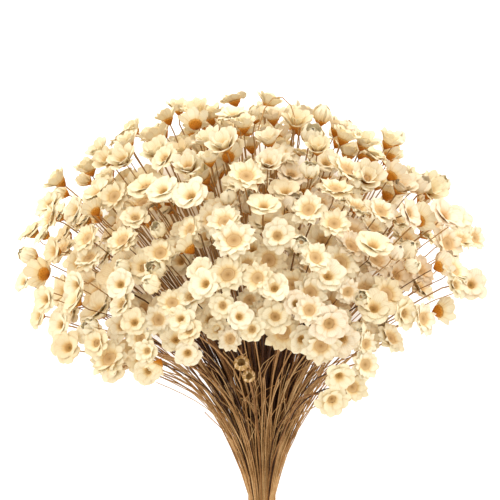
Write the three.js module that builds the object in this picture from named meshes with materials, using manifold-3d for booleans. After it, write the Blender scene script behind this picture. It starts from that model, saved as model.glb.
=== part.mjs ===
// A bunch of dried glixia star flowers lying on a table: thin stems gathered by a raffia tie, which
// open like a fountain into a dome of small papery blooms. Millimetres, +Z up, blooms towards +Y.
import * as THREE from 'three';
import { mergeVertices } from 'three/addons/utils/BufferGeometryUtils.js';
import Module from 'manifold-3d';

const wasm = await Module();
wasm.setup();

// How the bunch lies: its waist stands over the table, and its axis climbs towards the blooms
const WAIST = new THREE.Vector3(6.9, 10.9, 46);
const SLOPE = THREE.MathUtils.degToRad(11);
const STEM_BELOW_WAIST = 205;
const CUT_UNEVENNESS = 3.5;
const CUT_END_FLARE = 1.38;
const CUT_END_TWIST = -0.45;

// Strands: stems that lie pressed together from the cut ends up to the split above the waist
const STRAND_RINGS = 3;
const STRAND_PITCH = 1.8;
const STRAND_RADIUS = 0.75;
const STRAND_SIDES = 6;
const SPLIT_AT = 0.26;
const SPLIT_RADIUS = 2.15;

// The dome: degrees from the axis over the bundle's unit disc, and reach from the waist
const FLOWER_COUNT = 400;
const FAN_SIDE = [-4, 36, 7];
const FAN_RISE = [20, 43.5, -9.5];
const FAN_NORM = 50;
const REACH_TOP = 182;
const REACH_DROP = 41;
const REACH_DROP_FRONT = 7;
const REACH_POWER = 2.2;
const REACH_LEAN = 0.015;
const TUFT_REACH = 0.025;
const LEAVING_ANGLE = 0.26;
const LEAVING_LENGTH = 0.5;
const TIERS = [0, 3, 1, 4, 2, 5];
const TIER_SPAN = 0.2;
const TIER_POWER = 2;
const TIER_JITTER = 0.15;
const FRONT_FROM = 0.6;
const FRONT_TIERS = 0.5;
const FRONT_EDGE = 0.88;
const OUTWARD_JITTER = 0.6;
const ROUND_JITTER = 0.5;

// One flower: a three-sided stem, a cone of bracts and five petals round a sunken disc
const STEM_RADIUS = 0.5;
const STEM_SIDES = 3;
const STEM_KNEE = 0.56;
const SHORT_END = 0.7;
const STRAIGHT_UNDER = 23;
const ROOT_RADIUS = 0.3;
const ROOT_SPREAD = 6;
const ROOT_EDGE = 2.2;
const ROOT_PITCH = 0.8;
const ROOT_ROUNDS = 24;
const PETALS = 5;
const BLOOM_RADIUS = [5.8, 7];
const BLOOM_RADIUS_MIN = 3.2;
const BLOOM_HEIGHT = 4.8;
const PETAL_NOTCH = 0.62;
const PETAL_LIFT = 0.9;
const DISC_SUNK = 1.7;
const BUD_SHARE = 0.1;
const BUD_OPEN_MOST = 0.3;
const BLOOM_OPEN_LEAST = 0.7;
const BUD_RADIUS = 0.55;
const BUD_NOTCH = 0.8;
const BUD_CROWN = 1.4;
const TILT_MOST = 0.45;
const TURN_UP_MOST = 0.9;
const UNDERSIDE = -0.6;
const CLEARANCE = 0.45;

// Two petal-less button heads on short stems in front of the others
const BUTTONS = [{ x: -0.06, z: 0.96, end: 0.83 }, { x: -0.04, z: 0.99, end: 0.75 }];
const BUTTON_RADIUS = 5;

// A few blooms that hang lowest, beside the gap in the front where the stems show
const LOW_BLOOMS = [{ x: 0.62, z: 0.86 }, { x: 0.5, z: 0.99 }, { x: 0.59, z: 1 }, { x: 0.49, z: 1.12 }];

// Tie: turns of raffia side by side under the waist, with a knot and two short ends
const TIE_TOP = -4;
const TIE_TURNS = 5;
const TIE_WIDTH = 1.9;
const TIE_THICKNESS = 1.3;
const TIE_SIDES = 16;
const TIE_GAP = 0.5;
const RIB_FLAT = 0.4;
const RIB_DEPTH = 0.4;
const KNOT_RADIUS = 2.3;
const KNOT_SHAPE = [1.25, 1, 0.7];
const TAIL_LENGTH = 17;
const TAIL_SPREAD = 4.6;
const TAIL_SAG = 0.9;
const TAIL_WIDTH = 2;
const TAIL_THICKNESS = 0.7;

const SEED = 7;
const PURPOSES = ['outward', 'round', 'tier', 'bud', 'open', 'tilt', 'sideways', 'size',
  'upturn', 'cut', 'tuft'];
const PRESSED = 1.4;
const SIDES = 2 * PETALS;
const WAIST_RADIUS = STRAND_PITCH * (STRAND_RINGS + 0.5);
const AXIS = new THREE.Vector3(0, 1, 0);
const UP = new THREE.Vector3(0, 0, 1);
const GOLDEN_TURN = Math.PI * (3 - Math.sqrt(5));
const { lerp, degToRad } = THREE.MathUtils;

// A repeatable number from 0 to 1 for each flower or strand and purpose
function draw(index, purpose) {
  const place = PURPOSES.indexOf(purpose) + 1;
  let bits = (SEED + Math.imul(index + 1, 0x9e3779b1) + Math.imul(place, 0x85ebca6b)) | 0;
  bits = Math.imul(bits ^ (bits >>> 15), 0x2c1b3c6d);
  bits = Math.imul(bits ^ (bits >>> 12), 0x297a2d39);
  return ((bits ^ (bits >>> 15)) >>> 0) / 2 ** 32;
}

// From the bunch's own frame, with the waist at 0 and the axis along +Y, to the table's
function turned(direction) {
  return direction.clone().applyAxisAngle(new THREE.Vector3(1, 0, 0), SLOPE);
}

function laid(point) {
  return turned(point).add(WAIST);
}

// A direction at an angle from the axis, turned round it
function aimed(angle, turn) {
  const out = Math.sin(angle);
  return new THREE.Vector3(out * Math.cos(turn), Math.cos(angle), out * Math.sin(turn));
}

function fan(x, z) {
  const side = FAN_SIDE[0] + FAN_SIDE[1] * x + FAN_SIDE[2] * x ** 3;
  const rise = FAN_RISE[0] + FAN_RISE[1] * z + FAN_RISE[2] * z ** 2;
  return { degrees: Math.hypot(side, rise), turn: Math.atan2(rise, side) };
}

// The curve that a stem at (x, z) of the bundle's unit disc follows from the waist to the dome
function stemCurve(x, z, vigour = 1) {
  const { degrees, turn } = fan(x, z);
  const drop = REACH_DROP + REACH_DROP_FRONT * Math.max(0, Math.sin(turn)) ** 2;
  const dome = REACH_TOP - drop * (degrees / FAN_NORM) ** REACH_POWER;
  const reach = vigour * dome * (1 - REACH_LEAN * x);
  const angle = degToRad(degrees);
  const start = new THREE.Vector3(WAIST_RADIUS * x, 0, WAIST_RADIUS * z);
  const knee = aimed(LEAVING_ANGLE * angle, turn).multiplyScalar(LEAVING_LENGTH * reach).add(start);
  return new THREE.QuadraticBezierCurve3(start, knee, aimed(angle, turn).multiplyScalar(reach));
}

// Strands stand in rings round the middle one
const strands = [{ x: 0, z: 0 }];
for (let ring = 1; ring <= STRAND_RINGS; ring++) {
  for (let place = 0; place < 6 * ring; place++) {
    const turn = (2 * Math.PI * (place + 0.5 * (ring % 2))) / (6 * ring);
    const out = ring / (STRAND_RINGS + 0.5);
    strands.push({ x: out * Math.cos(turn), z: out * Math.sin(turn) });
  }
}

function nearestStrand(x, z) {
  const away = strands.map((strand) => Math.hypot(strand.x - x, strand.z - z));
  return away.indexOf(Math.min(...away));
}

// A flower's stem runs to where its bloom sits on the dome or in one of the tiers below it
function grow(index, x, z, end, open, radius) {
  const strand = nearestStrand(x, z);
  const curve = stemCurve(x, z, 1 + TUFT_REACH * (2 * draw(strand, 'tuft') - 1));
  const heading = curve.getTangent(end);
  const upturn = z > UNDERSIDE ? TURN_UP_MOST * (x * x + z * z) * draw(index, 'upturn') : 0;
  const sideways = new THREE.Vector3().crossVectors(heading, UP).normalize()
    .applyAxisAngle(heading, 2 * Math.PI * draw(index, 'sideways'));
  const facing = heading.clone().addScaledVector(UP, upturn).normalize()
    .applyAxisAngle(sideways, TILT_MOST * draw(index, 'tilt'));
  const straight = fan(x, z).degrees < STRAIGHT_UNDER || end < SHORT_END;
  const stops = straight ? [end] : [STEM_KNEE, end];
  const knots = stops.map((stop) => laid(curve.getPoint(stop)));
  return { x, z, strand, open, radius, knots, facing: turned(facing) };
}

// Flowers spread over the unit disc like seeds in a sunflower, in staggered tiers
const flowers = [];
for (let i = 0; i < FLOWER_COUNT; i++) {
  const out = Math.sqrt((i + 0.5 + OUTWARD_JITTER * (draw(i, 'outward') - 0.5)) / FLOWER_COUNT);
  const turn = i * GOLDEN_TURN + (ROUND_JITTER * (draw(i, 'round') - 0.5)) / Math.sqrt(i + 1);
  const [x, z] = [out * Math.cos(turn), out * Math.sin(turn)];
  if (z > FRONT_EDGE) continue;
  const tier = TIERS[i % TIERS.length] / (TIERS.length - 1);
  const span = z > FRONT_FROM ? FRONT_TIERS * TIER_SPAN : TIER_SPAN;
  const end = 1 - span * lerp(tier ** TIER_POWER, draw(i, 'tier'), TIER_JITTER);
  const range = draw(i, 'bud') < BUD_SHARE ? [0, BUD_OPEN_MOST] : [BLOOM_OPEN_LEAST, 1];
  const open = lerp(...range, draw(i, 'open'));
  flowers.push(grow(i, x, z, end, open, lerp(...BLOOM_RADIUS, draw(i, 'size'))));
}
BUTTONS.forEach(({ x, z, end }, i) => {
  flowers.push(grow(FLOWER_COUNT + i, x, z, end, 0, BUTTON_RADIUS));
});
LOW_BLOOMS.forEach(({ x, z }, i) => {
  const index = FLOWER_COUNT + BUTTONS.length + i;
  flowers.push(grow(index, x, z, 1, 1, lerp(...BLOOM_RADIUS, draw(index, 'size'))));
});

// A flower that would sink into the table is pushed up until its rim just presses on it
for (const flower of flowers) {
  const neck = flower.knots.at(-1);
  const dip = flower.radius * Math.sqrt(1 - flower.facing.z ** 2);
  const lowest = Math.min(neck.z - STEM_RADIUS, neck.z + BLOOM_HEIGHT * flower.facing.z - dip);
  neck.z += Math.max(0, -PRESSED - lowest);
  flower.middle = neck.clone().addScaledVector(flower.facing, BLOOM_HEIGHT / 2);
}

// The widest that a flower can open beside another one, and beside a point on a passing stem
const HALF = BLOOM_HEIGHT / 2;

function halfWidth(flower, direction) {
  const along = flower.facing.dot(direction);
  return Math.hypot(flower.radius * Math.sqrt(1 - along * along), HALF * along);
}

function widestBesideBloom(flower, other) {
  const apart = other.middle.clone().sub(flower.middle);
  const distance = apart.length();
  apart.divideScalar(distance);
  const needed = halfWidth(flower, apart) + halfWidth(other, apart);
  return (flower.radius * (distance - CLEARANCE)) / needed;
}

function widestBesideStem(flower, point) {
  const away = point.clone().sub(flower.middle);
  const along = away.dot(flower.facing);
  const level = along / (HALF + STEM_RADIUS + CLEARANCE);
  if (Math.abs(level) >= 1) return Infinity;
  const beside = away.addScaledVector(flower.facing, -along).length();
  return beside / Math.sqrt(1 - level * level) - STEM_RADIUS - CLEARANCE;
}

const STEM_SAMPLES = 16;
const NEARBY = 15;
const samples = flowers.map(({ knots, strand }) => {
  const foot = laid(stemCurve(strands[strand].x, strands[strand].z).getPoint(SPLIT_AT));
  const path = knots.length === 2 ? knots : [foot, knots[0]];
  return Array.from({ length: STEM_SAMPLES }, (_, s) => (
    path[0].clone().lerp(path[1], (s + 1) / STEM_SAMPLES)));
});
const widths = flowers.map((flower, i) => {
  let widest = flower.radius;
  flowers.forEach((other, j) => {
    if (i === j) return;
    if (other.middle.distanceTo(flower.middle) < NEARBY) {
      widest = Math.min(widest, widestBesideBloom(flower, other));
    }
    for (const point of samples[j]) {
      if (point.distanceTo(flower.middle) < NEARBY) {
        widest = Math.min(widest, widestBesideStem(flower, point));
      }
    }
  });
  return Math.max(BLOOM_RADIUS_MIN, widest);
});
flowers.forEach((flower, i) => {
  flower.radius = widths[i];
});

// A lathe surface whose corners are moved to where they belong: row r holds a function that turns
// an angle and a segment's number into a point, and the first and last rows are single points
function movedLathe(rows, sides) {
  const last = rows.length - 1;
  const profile = rows.map((row, r) => new THREE.Vector2(r % last === 0 ? 0 : 1, r));
  const geometry = new THREE.LatheGeometry(profile, sides);
  const position = geometry.getAttribute('position');
  for (let segment = 0; segment <= sides; segment++) {
    const k = segment % sides;
    rows.forEach((row, r) => {
      const { x, y, z } = row((2 * Math.PI * k) / sides, k);
      position.setXYZ(segment * rows.length + r, x, y, z);
    });
  }
  return geometry;
}

// A closed surface as a solid, without the triangles that a shared corner has flattened
function solid(geometry) {
  geometry.deleteAttribute('normal');
  geometry.deleteAttribute('uv');
  const merged = mergeVertices(geometry, 1e-5);
  const corners = merged.index.array;
  const kept = [];
  for (let t = 0; t < corners.length; t += 3) {
    const [a, b, c] = corners.slice(t, t + 3);
    if (a !== b && b !== c && c !== a) kept.push(a, b, c);
  }
  return new wasm.Manifold(new wasm.Mesh({
    numProp: 3,
    vertProperties: new Float32Array(merged.getAttribute('position').array),
    triVerts: new Uint32Array(kept),
  }));
}

// Axes square to a path at each of its points, carried along it without a twist
function squareAxes(path) {
  let across = new THREE.Vector3(1, 0, 0);
  return path.map((point, i) => {
    const ahead = path[Math.min(i + 1, path.length - 1)];
    const behind = path[Math.max(i - 1, 0)];
    const along = ahead.clone().sub(behind).normalize();
    across = across.clone().addScaledVector(along, -across.dot(along)).normalize();
    return { point, along, across, over: new THREE.Vector3().crossVectors(along, across) };
  });
}

function onRing({ point, across, over }, radius, turn) {
  return point.clone()
    .addScaledVector(across, radius * Math.cos(turn))
    .addScaledVector(over, radius * Math.sin(turn));
}

// A split's face in its own frame: level, round 0, with the stems leaving it along +Y
const SPLIT_FACE = {
  point: new THREE.Vector3(0, 0, 0),
  across: new THREE.Vector3(1, 0, 0),
  over: new THREE.Vector3(0, 0, -1),
};

// Strand: a six-sided rod from its cut end, through the tie, to the split where its stems part
function strandPath({ x, z }, index) {
  const cut = -STEM_BELOW_WAIST + CUT_UNEVENNESS * (2 * draw(index, 'cut') - 1);
  const end = new THREE.Vector3(x, 0, z).applyAxisAngle(AXIS, CUT_END_TWIST)
    .multiplyScalar(WAIST_RADIUS * CUT_END_FLARE).setY(cut);
  const curve = stemCurve(x, z);
  return [end, curve.getPoint(0), curve.getPoint(SPLIT_AT)].map(laid);
}

function strandSolid(path) {
  const frames = [...squareAxes(path).slice(0, 2), SPLIT_FACE];
  const radii = [STRAND_RADIUS, STRAND_RADIUS, SPLIT_RADIUS];
  const rows = frames.map((frame, i) => (turn) => onRing(frame, radii[i], turn));
  return solid(movedLathe([() => path[0], ...rows, () => SPLIT_FACE.point], STRAND_SIDES));
}

// Flower: its stem grows out of the split's face at the root, and its bracts open into petals
function flowerSolid({ open, radius }, root, knots, facing) {
  const frames = squareAxes([root, ...knots]);
  frames[0] = { ...SPLIT_FACE, point: root };
  const stem = frames.map((frame, i) => (turn, k) => {
    const corner = Math.floor((k * STEM_SIDES) / SIDES + 0.5) % STEM_SIDES;
    const thickness = i === 0 ? ROOT_RADIUS : STEM_RADIUS;
    return onRing(frame, thickness, (2 * Math.PI * corner) / STEM_SIDES);
  });
  const neck = frames.at(-1);
  const across = neck.across.clone()
    .addScaledVector(facing, -neck.across.dot(facing)).normalize();
  const over = new THREE.Vector3().crossVectors(facing, across);
  const rim = { point: neck.point, across, over };
  const tip = radius * lerp(BUD_RADIUS, 1, open);
  const notch = tip * lerp(BUD_NOTCH, PETAL_NOTCH, open);
  const petals = (turn, k) => onRing(rim, k % 2 ? notch : tip, turn)
    .addScaledVector(facing, BLOOM_HEIGHT - (k % 2 ? PETAL_LIFT * open : 0));
  const disc = neck.point.clone()
    .addScaledVector(facing, BLOOM_HEIGHT + lerp(BUD_CROWN, -DISC_SUNK, open));
  return solid(movedLathe([() => root, ...stem, petals, () => disc], SIDES));
}

// Roots stand apart on the face of the split, each on the side that its stem leans to
function rootPlaces(aims) {
  const places = aims.map(({ x, y, z }) => new THREE.Vector2(x, z).multiplyScalar(ROOT_SPREAD / y));
  for (let round = 0; round < ROOT_ROUNDS; round++) {
    for (const place of places) {
      for (const other of places) {
        const apart = place.clone().sub(other);
        const short = ROOT_PITCH - apart.length();
        if (place !== other && short > 0) place.add(apart.setLength(short / 2));
      }
      place.clampLength(0, SPLIT_RADIUS - ROOT_EDGE * ROOT_RADIUS);
    }
  }
  return places;
}

// Spray: a strand with all the flowers that join it, in one body
function spraySolid(strand, index) {
  const path = strandPath(strand, index);
  const { point, along, across, over } = squareAxes(path).at(-1);
  const place = new THREE.Matrix4().makeBasis(across, along, over.negate()).setPosition(point);
  const home = place.clone().invert();
  const own = flowers.filter((flower) => flower.strand === index);
  const paths = own.map(({ knots }) => knots.map((knot) => knot.clone().applyMatrix4(home)));
  const roots = rootPlaces(paths.map((knots) => knots[0]));
  let body = strandSolid(path.map((each) => each.clone().applyMatrix4(home)));
  own.forEach((flower, i) => {
    const root = new THREE.Vector3(roots[i].x, 0, roots[i].y);
    const facing = flower.facing.clone().transformDirection(home);
    body = body.add(flowerSolid(flower, root, paths[i], facing));
  });
  return body.transform(place.elements);
}

// Tie: raffia turns as one ribbed ring, its knot on top, and two short ends lying down the bunch
function tieRing() {
  const inner = STRAND_PITCH * STRAND_RINGS + STRAND_RADIUS + TIE_GAP;
  const outer = inner + TIE_THICKNESS;
  const profile = [new THREE.Vector2(inner, TIE_TOP - TIE_TURNS * TIE_WIDTH)];
  for (let turn = TIE_TURNS; turn > 0; turn--) {
    const middle = TIE_TOP - (turn - 0.5) * TIE_WIDTH;
    const half = (RIB_FLAT / 2) * TIE_WIDTH;
    profile.push(new THREE.Vector2(outer, middle - half), new THREE.Vector2(outer, middle + half));
    if (turn > 1) profile.push(new THREE.Vector2(outer - RIB_DEPTH, middle + TIE_WIDTH / 2));
  }
  profile.push(new THREE.Vector2(inner, TIE_TOP), profile[0].clone());
  return new THREE.LatheGeometry(profile, TIE_SIDES);
}

function tieTail(side, knot) {
  const route = new THREE.CatmullRomCurve3([
    knot,
    knot.clone().add(new THREE.Vector3(0.7 * side * TAIL_SPREAD, -TAIL_LENGTH / 2, TAIL_SAG / 2)),
    knot.clone().add(new THREE.Vector3(side * TAIL_SPREAD, -TAIL_LENGTH, TAIL_SAG)),
  ]);
  const [x, y] = [TAIL_THICKNESS / 2, TAIL_WIDTH / 2];
  const section = new THREE.Shape();
  section.moveTo(-x, -y).lineTo(x, -y).lineTo(x, y).lineTo(-x, y).closePath();
  return new THREE.ExtrudeGeometry(section, { steps: 4, bevelEnabled: false, extrudePath: route });
}

function tieSolid() {
  const top = STRAND_PITCH * STRAND_RINGS + STRAND_RADIUS + TIE_GAP + TIE_THICKNESS;
  const knot = new THREE.Vector3(0, TIE_TOP - 0.5 * TIE_TURNS * TIE_WIDTH, top + 0.2);
  const lump = new THREE.SphereGeometry(KNOT_RADIUS, 8, 5).scale(...KNOT_SHAPE)
    .translate(...knot.toArray());
  let body = solid(tieRing()).add(solid(lump));
  for (const side of [-1, 1]) body = body.add(solid(tieTail(side, knot)));
  return body;
}

// A solid as a named mesh of the bunch
const bunch = new THREE.Group();

function addMesh(name, body, colour) {
  const { vertProperties, triVerts } = body.getMesh();
  const geometry = new THREE.BufferGeometry();
  geometry.setAttribute('position', new THREE.BufferAttribute(vertProperties, 3));
  geometry.setIndex(new THREE.BufferAttribute(triVerts, 1));
  geometry.computeVertexNormals();
  const material = new THREE.MeshStandardMaterial({ color: colour, roughness: 0.85 });
  const mesh = new THREE.Mesh(geometry, material);
  mesh.name = name;
  bunch.add(mesh);
  return mesh;
}

const CREAM = 0xefdcb4;
const RAFFIA = 0xc9a66b;
const TABLE = [600, 800, 40];
const table = solid(new THREE.BoxGeometry(...TABLE).translate(0, 0, -TABLE[2] / 2));
strands.forEach((strand, index) => {
  const body = spraySolid(strand, index);
  const reachesTable = body.boundingBox().min[2] < 0;
  addMesh(`spray_${String(index).padStart(2, '0')}`,
    reachesTable ? body.subtract(table) : body, CREAM);
});
const tie = addMesh('tie', tieSolid(), RAFFIA);
tie.position.copy(WAIST);
tie.rotation.x = SLOPE;

export default bunch;
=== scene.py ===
# A bunch of dried glixia star flowers lying on a table, seen from above with the blooms away
# from the viewer. +Z is up, and the stems run along +Y from their cut ends to the blooms.
# The bunch is drawn in millimetres; the table, the lights and the finishes are in metres.
import math
from types import SimpleNamespace

import bmesh
import bpy
import numpy as np
from mathutils import Matrix, Quaternion, Vector


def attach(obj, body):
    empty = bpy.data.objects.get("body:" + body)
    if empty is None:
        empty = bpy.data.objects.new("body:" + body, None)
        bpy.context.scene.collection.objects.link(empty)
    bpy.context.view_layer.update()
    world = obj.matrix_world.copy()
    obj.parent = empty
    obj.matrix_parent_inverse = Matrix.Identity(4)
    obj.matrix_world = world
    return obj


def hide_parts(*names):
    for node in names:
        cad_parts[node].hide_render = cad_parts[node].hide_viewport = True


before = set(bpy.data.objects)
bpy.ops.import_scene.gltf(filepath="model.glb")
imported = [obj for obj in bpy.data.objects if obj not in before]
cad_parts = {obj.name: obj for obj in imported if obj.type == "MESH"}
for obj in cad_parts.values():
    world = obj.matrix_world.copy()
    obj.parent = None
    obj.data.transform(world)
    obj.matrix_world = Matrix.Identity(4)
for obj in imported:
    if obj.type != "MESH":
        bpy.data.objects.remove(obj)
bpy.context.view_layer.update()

# The viewpoint. A studio camera looks square down on the leaning bunch, a little under half a
# metre from its axis, so the waist of the bundle stands at the lower edge of the picture.
MM = 0.001
WAIST = Vector((6.9, 10.9, 46))
SLOPE = math.radians(11)
VIEW_ALONG = 115
VIEW_ASIDE = -5.6
VIEW_DISTANCE = 475
LENS = 72.8
SENSOR_WIDTH = 36
VIEW_DEPTH = 20


def added(name, data):
    """A new object in the scene for a mesh, a curve, a light or a camera."""
    made = bpy.data.objects.new(name, data)
    bpy.context.collection.objects.link(made)
    return made


def turned(direction):
    """From the bunch's own frame, with the axis along +Y, to the table's."""
    return Matrix.Rotation(SLOPE, 3, "X") @ direction


def laid(point):
    """The same for a place measured from the waist."""
    return turned(point) + WAIST


def look_at(viewer, target):
    """Turns a camera or a light, which look along their own -Z, towards a place in metres."""
    viewer.rotation_euler = (target - viewer.location).to_track_quat("-Z", "Y").to_euler()


aim = laid(Vector((VIEW_ASIDE, VIEW_ALONG, 0)))
camera = added("camera", bpy.data.cameras.new("camera"))
camera.data.lens = LENS
camera.data.sensor_width = SENSOR_WIDTH
camera.data.clip_end = VIEW_DEPTH
camera.location = (aim + turned(Vector((0, 0, VIEW_DISTANCE)))) * MM
look_at(camera, aim * MM)
bpy.context.scene.camera = camera

# The table and the light. A white table top with a painted glow, as a light table would give, that keeps
# it white beside the bunch, and a painted warm shadow in an oval under the blooms, where it doesn't glow;
# a wide soft light over the bunch, three low ones round the dome, and a warm white room.
TABLE_SIDE = 6.0
TABLE_WHITE = (0.94, 0.94, 0.94, 1)
# Painted shadow: the warm, darker colour of the oval under the blooms
TABLE_SHADED = (0.72, 0.6, 0.44, 1)
TABLE_ROUGHNESS = 0.9
# Painted light: how strongly the table glows outside the oval
TABLE_GLOW = 0.4
GLOW_WHITE = (1, 1, 1, 1)
SHADE_MIDDLE = (-0.002, 0.139, 0)
SHADE_HALF = (0.094, 0.064, 1)
SHADE_EDGE = (0.75, 1)
ROOM_LIGHT = 1.11
ROOM_TINT = (1, 0.975, 0.94, 1)


def mesh_of(bm, name):
    """Turns a finished bmesh into a mesh."""
    mesh = bpy.data.meshes.new(name)
    bm.to_mesh(mesh)
    bm.free()
    return mesh


def new_finish(name, roughness):
    """A material, with its nodes and its shader."""
    finish = bpy.data.materials.new(name)
    finish.use_nodes = True
    shader = finish.node_tree.nodes["Principled BSDF"]
    shader.inputs["Roughness"].default_value = roughness
    return finish, finish.node_tree, shader


def feed(tree, socket, value):
    """Gives a socket another node's output, or a plain value."""
    if isinstance(value, bpy.types.NodeSocket):
        tree.links.new(value, socket)
    else:
        socket.default_value = value


def computed(tree, operation, first, second=0.0):
    """What a sum makes of one or two values."""
    node = tree.nodes.new("ShaderNodeMath")
    node.operation = operation
    feed(tree, node.inputs[0], first)
    feed(tree, node.inputs[1], second)
    return node.outputs[0]


def mixed(tree, factor, first, second, blend="MIX"):
    """A mix of two colours by a factor."""
    node = tree.nodes.new("ShaderNodeMix")
    node.data_type = "RGBA"
    node.blend_type = blend
    feed(tree, node.inputs[0], factor)
    feed(tree, node.inputs[6], first)
    feed(tree, node.inputs[7], second)
    return node.outputs[2]


def rising(tree, value, low, high, most=1.0):
    """From 0 where a value is under low to the most where it is over high."""
    node = tree.nodes.new("ShaderNodeMapRange")
    node.inputs["From Min"].default_value = low
    node.inputs["From Max"].default_value = high
    node.inputs["To Max"].default_value = most
    tree.links.new(value, node.inputs["Value"])
    return node.outputs["Result"]


def table_finish():
    """White with a painted glow, apart from a painted shadow: a warm and darker oval under the blooms,
    which doesn't glow.
    """
    finish, tree, shader = new_finish("table_white", TABLE_ROUGHNESS)
    on_table = tree.nodes.new("ShaderNodeTexCoord")
    from_shade = tree.nodes.new("ShaderNodeMapping")
    from_shade.vector_type = "TEXTURE"
    from_shade.inputs["Location"].default_value = SHADE_MIDDLE
    from_shade.inputs["Scale"].default_value = SHADE_HALF
    away = tree.nodes.new("ShaderNodeVectorMath")
    away.operation = "LENGTH"
    tree.links.new(on_table.outputs["Object"], from_shade.inputs["Vector"])
    tree.links.new(from_shade.outputs["Vector"], away.inputs[0])
    outside = rising(tree, away.outputs["Value"], *SHADE_EDGE)
    tree.links.new(mixed(tree, outside, TABLE_SHADED, TABLE_WHITE), shader.inputs["Base Color"])
    shader.inputs["Emission Color"].default_value = GLOW_WHITE
    tree.links.new(computed(tree, "MULTIPLY", outside, TABLE_GLOW), shader.inputs["Emission Strength"])
    return finish


bm = bmesh.new()
bmesh.ops.create_grid(bm, x_segments=1, y_segments=1, size=TABLE_SIDE / 2)
table = added("table", mesh_of(bm, "table"))
table.data.materials.append(table_finish())

room = bpy.data.worlds.new("room")
room.use_nodes = True
room.node_tree.nodes["Background"].inputs["Color"].default_value = ROOM_TINT
room.node_tree.nodes["Background"].inputs["Strength"].default_value = ROOM_LIGHT
bpy.context.scene.world = room
bpy.context.scene.view_settings.view_transform = "Standard"


def add_light(name, place, size, power):
    """A square soft light at a place in metres, aimed at the middle of the blooms."""
    light = added(name, bpy.data.lights.new(name, "AREA"))
    light.data.size = size
    light.data.energy = power
    light.location = place
    look_at(light, aim * MM)


add_light("over_light", place=(-0.3, 0, 1.5), size=1.2, power=1)
add_light("far_light", place=(0.1, 1.4, 0.6), size=0.8, power=6)
add_light("left_light", place=(-1.2, 0.3, 0.45), size=0.8, power=2.4)
add_light("right_light", place=(1.2, 0.3, 0.45), size=0.8, power=2.4)

# Where everything grows. The stems stand in a round bundle at the waist and open like a
# fountain; each one follows its own curve to a bloom on the dome, as in the part's solids.
STRAND_RINGS = 3
STRAND_PITCH = 1.8
WAIST_RADIUS = STRAND_PITCH * (STRAND_RINGS + 0.5)
SPLIT_AT = 0.26
FLOWER_COUNT = 400
SEED = 7
# The fan and the dome: how many degrees a stem leans aside and up for its place in the bundle,
# and how far it reaches, which is less for a stem that leans far out
FAN_SIDE = (-4, 36, 7)
FAN_RISE = (20, 43.5, -9.5)
FAN_NORM = 50
REACH_TOP = 182
REACH_DROP = 41
REACH_DROP_FRONT = 7
REACH_POWER = 2.2
REACH_LEAN = 0.015
TUFT_REACH = 0.025
LEAVING_ANGLE = 0.26
LEAVING_LENGTH = 0.5
# How far under the dome's surface a bloom stands, as a share of its stem, which is less in front
TIERS = (0, 3, 1, 4, 2, 5)
TIER_SPAN = 0.2
TIER_POWER = 2
TIER_JITTER = 0.15
FRONT_FROM = 0.6
FRONT_TIERS = 0.5
FRONT_EDGE = 0.88
OUTWARD_JITTER = 0.6
ROUND_JITTER = 0.5
# The solids' stems and blooms, which say how much room each bloom has
STEM_RADIUS = 0.5
STEM_KNEE = 0.56
SHORT_END = 0.7
STRAIGHT_UNDER = 23
STEM_SAMPLES = 16
BLOOM_RADIUS = (5.8, 7)
BLOOM_RADIUS_MIN = 3.2
BLOOM_HEIGHT = 4.8
CLEARANCE = 0.45
NEARBY = 15
PRESSED = 1.4
# How many blooms are buds, how far the others have opened, and how far each tilts and turns up
BUD_SHARE = 0.1
BUD_OPEN_MOST = 0.3
BLOOM_OPEN_LEAST = 0.7
TILT_MOST = 0.45
TURN_UP_MOST = 0.9
UNDERSIDE = -0.6
# The buttons in front of the stems and the blooms that hang low at the right
BUTTONS = ((-0.06, 0.96, 0.83), (-0.04, 0.99, 0.75))
BUTTON_RADIUS = 5
LOW_BLOOMS = ((0.62, 0.86), (0.5, 0.99), (0.59, 1), (0.49, 1.12))
PURPOSES = ("outward", "round", "tier", "bud", "open", "tilt", "sideways", "size", "upturn", "cut",
            "tuft", "kind", "spin", "tone", "wave", "phase", "colour", "loose", "break", "squash")
GOLDEN_TURN = math.pi * (3 - math.sqrt(5))
UP = Vector((0, 0, 1))


def draw(index, purpose):
    """A repeatable number from 0 to 1 for each stem, strand or petal and purpose."""
    row = PURPOSES.index(purpose) + 1
    bits = (SEED + (index + 1) * 0x9E3779B1 + row * 0x85EBCA6B) & 0xFFFFFFFF
    bits = ((bits ^ (bits >> 15)) * 0x2C1B3C6D) & 0xFFFFFFFF
    bits = ((bits ^ (bits >> 12)) * 0x297A2D39) & 0xFFFFFFFF
    return (bits ^ (bits >> 15)) / 2 ** 32


def lerp(low, high, share):
    """The number a share of the way from low to high."""
    return low + (high - low) * share


def aimed(angle, turn):
    """A direction at an angle from the axis, turned round it."""
    out = math.sin(angle)
    return Vector((out * math.cos(turn), math.cos(angle), out * math.sin(turn)))


def fan(x, z):
    """How many degrees a stem leans out from the axis, and which way round it leans."""
    side = FAN_SIDE[0] + FAN_SIDE[1] * x + FAN_SIDE[2] * x ** 3
    rise = FAN_RISE[0] + FAN_RISE[1] * z + FAN_RISE[2] * z ** 2
    return math.hypot(side, rise), math.atan2(rise, side)


def stem_curve(x, z, vigour=1.0):
    """The three guides of the curve from the waist to the dome for a place in the bundle."""
    degrees, turn = fan(x, z)
    drop = REACH_DROP + REACH_DROP_FRONT * max(0, math.sin(turn)) ** 2
    dome = REACH_TOP - drop * (degrees / FAN_NORM) ** REACH_POWER
    reach = vigour * dome * (1 - REACH_LEAN * x)
    angle = math.radians(degrees)
    start = Vector((WAIST_RADIUS * x, 0, WAIST_RADIUS * z))
    knee = aimed(LEAVING_ANGLE * angle, turn) * (LEAVING_LENGTH * reach) + start
    return start, knee, aimed(angle, turn) * reach


def on_curve(guides, t):
    """The place a share t of the way along the curve that three guides draw."""
    a, b, c = guides
    return a * (1 - t) ** 2 + b * (2 * t * (1 - t)) + c * t ** 2


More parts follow.
